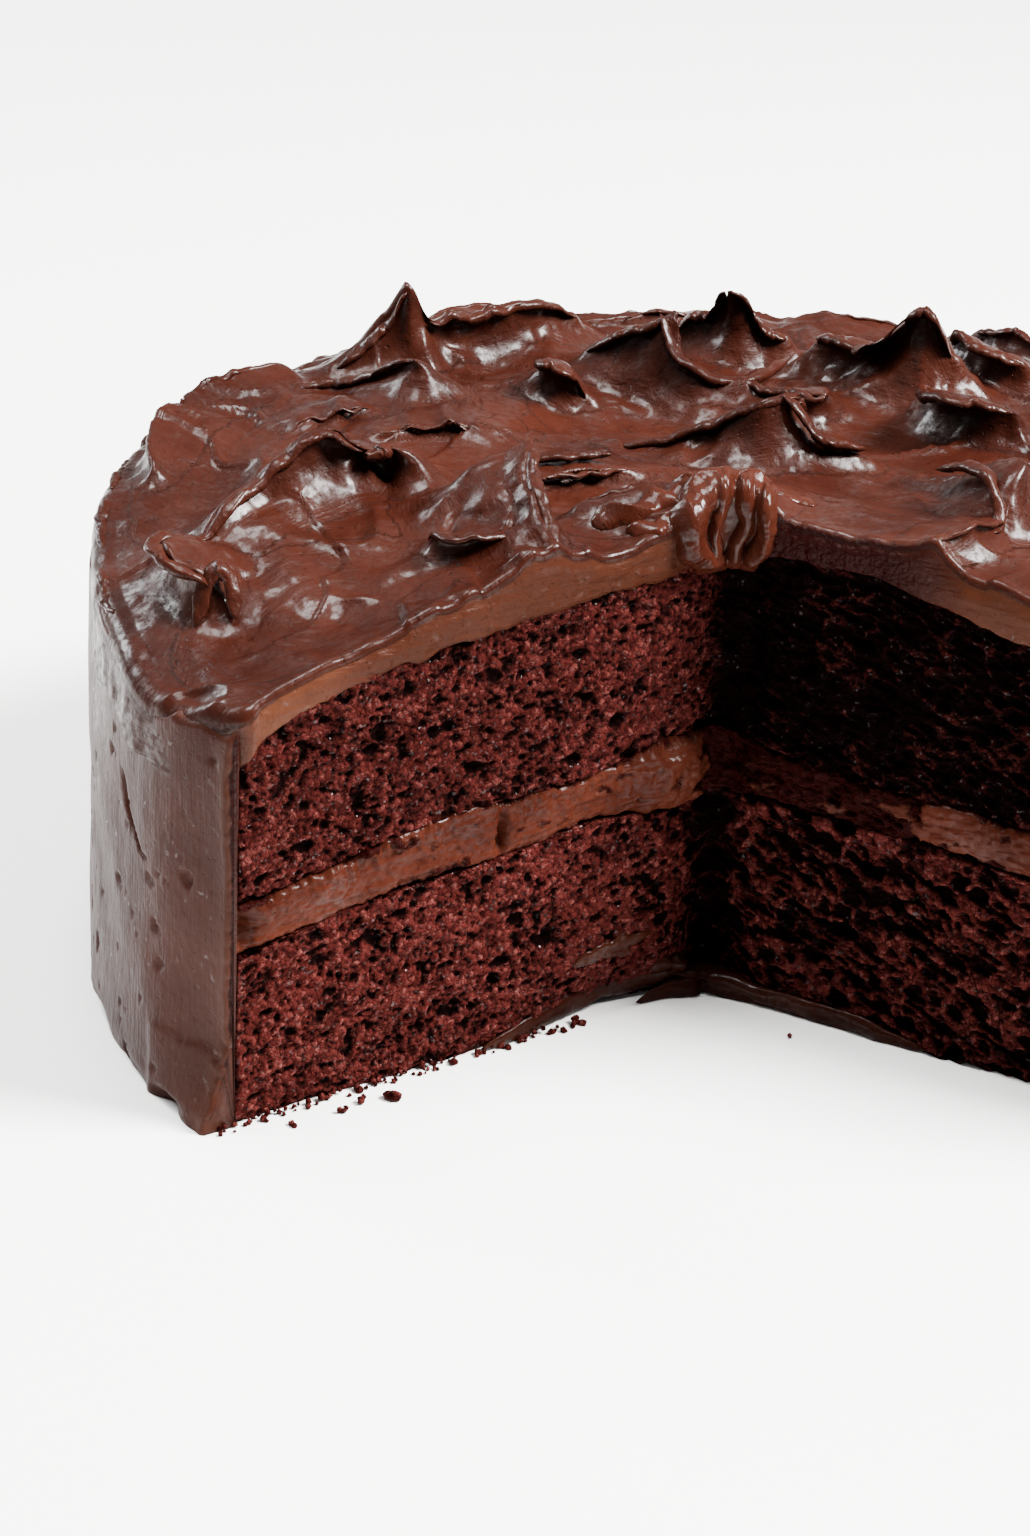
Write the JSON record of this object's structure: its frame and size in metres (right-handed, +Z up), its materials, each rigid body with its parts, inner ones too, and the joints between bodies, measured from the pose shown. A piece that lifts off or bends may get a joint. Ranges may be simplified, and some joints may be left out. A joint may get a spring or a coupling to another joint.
{
  "type": "layer cake",
  "caption": "Round chocolate layer cake with swirled frosting and a wide slice cut out, showing its sponge layers and filling.",
  "frame": {"origin": "middle of the round foot of the cake, on the surface that it stands on", "axes": "+Z up, through the layers; the open slice faces -Y; +X to the right seen from the open slice"},
  "size_m": [0.214, 0.174, 0.0975],
  "materials": {
    "sponge": "matt open crumb",
    "filling": "smooth satin",
    "frosting": "glossy swirled top, satin side"
  },
  "bodies": {
    "root": {"sponge_lower": "sponge", "filling": "filling", "sponge_upper": "sponge", "frosting": "frosting"}
  },
  "joints": []
}
